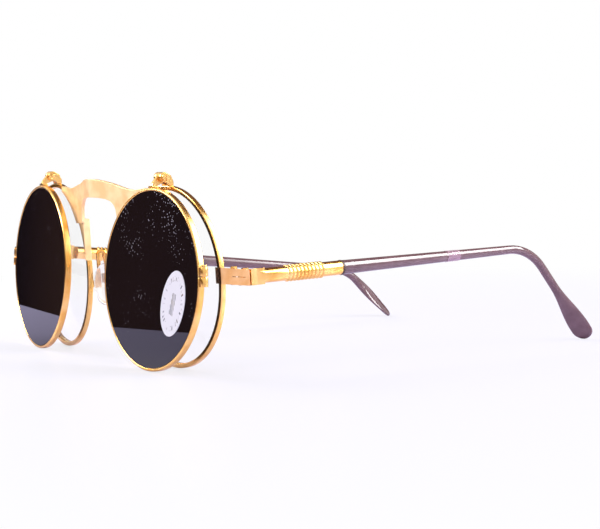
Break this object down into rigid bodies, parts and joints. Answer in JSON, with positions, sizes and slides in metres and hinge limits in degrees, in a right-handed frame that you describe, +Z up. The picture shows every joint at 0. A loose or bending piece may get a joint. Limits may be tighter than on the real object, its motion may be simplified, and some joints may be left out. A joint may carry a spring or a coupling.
{
  "type": "flip-up sunglasses",
  "caption": "Round wire-frame glasses with clear lenses, dark lenses in hinged rims that flip up, folding temples with plastic sleeves, and clear nose pads.",
  "frame": {"origin": "middle of the footprint, on the floor that the dark rims and the temple tips touch", "axes": "+Z up, the front of the glasses faces -Y, +X is the wearer's left"},
  "size_m": [0.1244, 0.1363, 0.0516],
  "materials": {
    "gold_plate": "polished gold plate",
    "satin_gold": "satin brushed gold plate",
    "screw_gold": "polished gold plate",
    "core_wire": "drawn wire",
    "clear_lens": "clear moulded plastic",
    "dark_lens": "polished dark tint",
    "pad_silicone": "clear silicone",
    "sleeve_plastic": "glossy mauve-brown plastic",
    "sticker_film": "white film"
  },
  "bodies": {
    "front": {"rear_rim_left": "gold_plate", "rear_rim_right": "gold_plate", "clear_lens_left": "clear_lens", "clear_lens_right": "clear_lens", "end_piece_left": "satin_gold", "end_piece_right": "satin_gold", "rim_screw_left": "screw_gold", "rim_screw_right": "screw_gold", "front_hinge_leaf_left": "gold_plate", "front_hinge_leaf_right": "gold_plate", "temple_hinge_screw_left": "screw_gold", "temple_hinge_screw_right": "screw_gold", "flip_hinge_base_left": "gold_plate", "flip_hinge_base_right": "gold_plate", "flip_hinge_screw_left": "screw_gold", "flip_hinge_screw_right": "screw_gold", "pad_arm_left": "gold_plate", "pad_arm_right": "gold_plate", "pad_screw_left": "screw_gold", "pad_screw_right": "screw_gold", "bridge": "satin_gold"},
    "flip_left": {"front_rim_left": "gold_plate", "tinted_lens_left": "dark_lens", "flip_hinge_leaf_left": "gold_plate", "front_rim_screw_left": "screw_gold", "lens_sticker": "sticker_film"},
    "temple_left": {"temple_hinge_leaf_left": "gold_plate", "temple_rod_left": "gold_plate", "temple_core_left": "core_wire", "temple_sleeve_left": "sleeve_plastic"},
    "pad_left": {"nose_pad_left": "pad_silicone"},
    "flip_right": {"front_rim_right": "gold_plate", "tinted_lens_right": "dark_lens", "flip_hinge_leaf_right": "gold_plate", "front_rim_screw_right": "screw_gold"},
    "temple_right": {"temple_hinge_leaf_right": "gold_plate", "temple_rod_right": "gold_plate", "temple_core_right": "core_wire", "temple_sleeve_right": "sleeve_plastic"},
    "pad_right": {"nose_pad_right": "pad_silicone"}
  },
  "joints": [
    {"name": "flip_left_hinge", "type": "hinge", "parent": "front", "child": "flip_left", "pos_m": [0.03599, -0.06143, 0.0502], "axis": [-0.9963, -0.0853, -0.0036], "range_deg": [0, 95]},
    {"name": "flip_right_hinge", "type": "hinge", "parent": "front", "child": "flip_right", "pos_m": [-0.03599, -0.06143, 0.0502], "axis": [-0.9963, 0.0853, 0.0036], "range_deg": [0, 95]},
    {"name": "temple_left_hinge", "type": "hinge", "parent": "front", "child": "temple_left", "pos_m": [0.0579, -0.04937, 0.02469], "axis": [0, -0.0419, 0.9991], "range_deg": [0, 80]},
    {"name": "temple_right_hinge", "type": "hinge", "parent": "front", "child": "temple_right", "pos_m": [-0.0579, -0.04945, 0.02659], "axis": [0, 0.0419, -0.9991], "range_deg": [0, 84]},
    {"name": "pad_left_rock", "type": "hinge", "parent": "front", "child": "pad_left", "pos_m": [0.012, -0.05577, 0.02102], "axis": [0, 0.9991, 0.0419], "range_deg": [-5, 5]},
    {"name": "pad_right_rock", "type": "hinge", "parent": "front", "child": "pad_right", "pos_m": [-0.012, -0.05577, 0.02102], "axis": [0, 0.9991, 0.0419], "range_deg": [-5, 5]}
  ]
}
